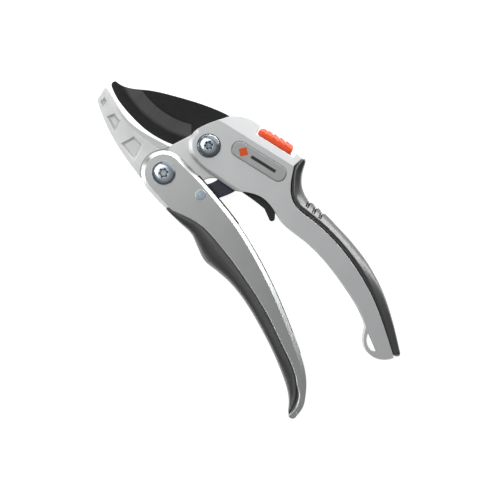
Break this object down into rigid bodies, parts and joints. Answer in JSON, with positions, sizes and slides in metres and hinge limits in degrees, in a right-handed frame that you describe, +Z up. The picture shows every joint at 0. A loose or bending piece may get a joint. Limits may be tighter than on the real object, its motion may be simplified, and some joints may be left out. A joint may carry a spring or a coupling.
{
  "type": "pruning shears",
  "caption": "One-hand ratchet anvil pruning shears with a coated blade, pocketed anvil jaw, silver handles with soft grips and a thumb lock.",
  "frame": {"origin": "centre of the footprint on the surface that the shears lie on, back face down", "axes": "+X from the jaws to the ends of the handles, +Y towards the upper handle, +Z up out of the front face"},
  "size_m": [0.2172, 0.0978, 0.0207],
  "materials": {
    "coated_blade": "non-stick coated steel, ground towards the edge",
    "cast_anvil": "pale painted casting",
    "silver_upper": "satin silver paint on cast aluminium",
    "silver_lower": "satin silver paint on cast aluminium",
    "soft_rubber": "soft matte elastomer",
    "badge_plate": "plain satin plate",
    "zinc_steel": "bright zinc plated",
    "black_ring": "black ring",
    "bronze_bush": "sintered bronze",
    "spring_steel": "spring steel",
    "black_plastic": "glass-filled nylon",
    "link_steel": "blackened steel",
    "orange_plastic": "satin orange plastic"
  },
  "bodies": {
    "upper_frame": {"anvil_jaw": "cast_anvil", "upper_handle": "silver_upper", "upper_grip": "soft_rubber", "badge": "badge_plate", "blade_pivot_bolt": "zinc_steel", "blade_pivot_ring": "black_ring", "blade_pivot_nut": "zinc_steel", "blade_pivot_bush": "bronze_bush", "blade_pivot_washers": "zinc_steel", "tang_screws": "zinc_steel", "lever_pin": "zinc_steel", "lever_spring": "spring_steel", "opening_spring": "spring_steel"},
    "cutter": {"blade": "coated_blade"},
    "lower_arm": {"lower_handle": "silver_lower", "lower_grip": "soft_rubber", "handle_liner": "black_plastic", "handle_pivot_bolt": "zinc_steel", "handle_pivot_nut": "zinc_steel", "handle_pivot_bush": "bronze_bush", "handle_pivot_washers": "zinc_steel", "link_pin": "zinc_steel", "link_spacers": "zinc_steel", "link_spring": "spring_steel"},
    "link": {"ratchet_link": "link_steel"},
    "lever": {"release_lever": "black_plastic"},
    "lock": {"lock_slider": "orange_plastic", "lock_tab": "zinc_steel", "detent_ball": "spring_steel"}
  },
  "joints": [
    {"name": "lower_handle_hinge", "type": "hinge", "parent": "upper_frame", "child": "lower_arm", "pos_m": [-0.05194, -0.01573, 0.009], "axis": [0, 0, 1], "range_deg": [-26, 3]},
    {"name": "blade_hinge", "type": "hinge", "parent": "upper_frame", "child": "cutter", "pos_m": [-0.04754, 0.01277, 0.009], "axis": [0, 0, 1], "range_deg": [-26, 3]},
    {"name": "ratchet_link_hinge", "type": "hinge", "parent": "lower_arm", "child": "link", "pos_m": [-0.02984, -0.00793, 0.009], "axis": [0, 0, 1], "range_deg": [-3, 26]},
    {"name": "release_lever_hinge", "type": "hinge", "parent": "upper_frame", "child": "lever", "pos_m": [-0.00554, 0.02277, 0.009], "axis": [0, 0, 1], "range_deg": [0, 8], "stiffness_Nm_per_rad": 0.05},
    {"name": "lock_slide", "type": "slide", "parent": "upper_frame", "child": "lock", "axis": [0.95, 0.3123, 0], "range_m": [0, 0.002]}
  ],
  "couplings": [
    {"joint": "blade_hinge", "follows": "lower_handle_hinge", "ratio": 1},
    {"joint": "ratchet_link_hinge", "follows": "lower_handle_hinge", "ratio": -1}
  ]
}
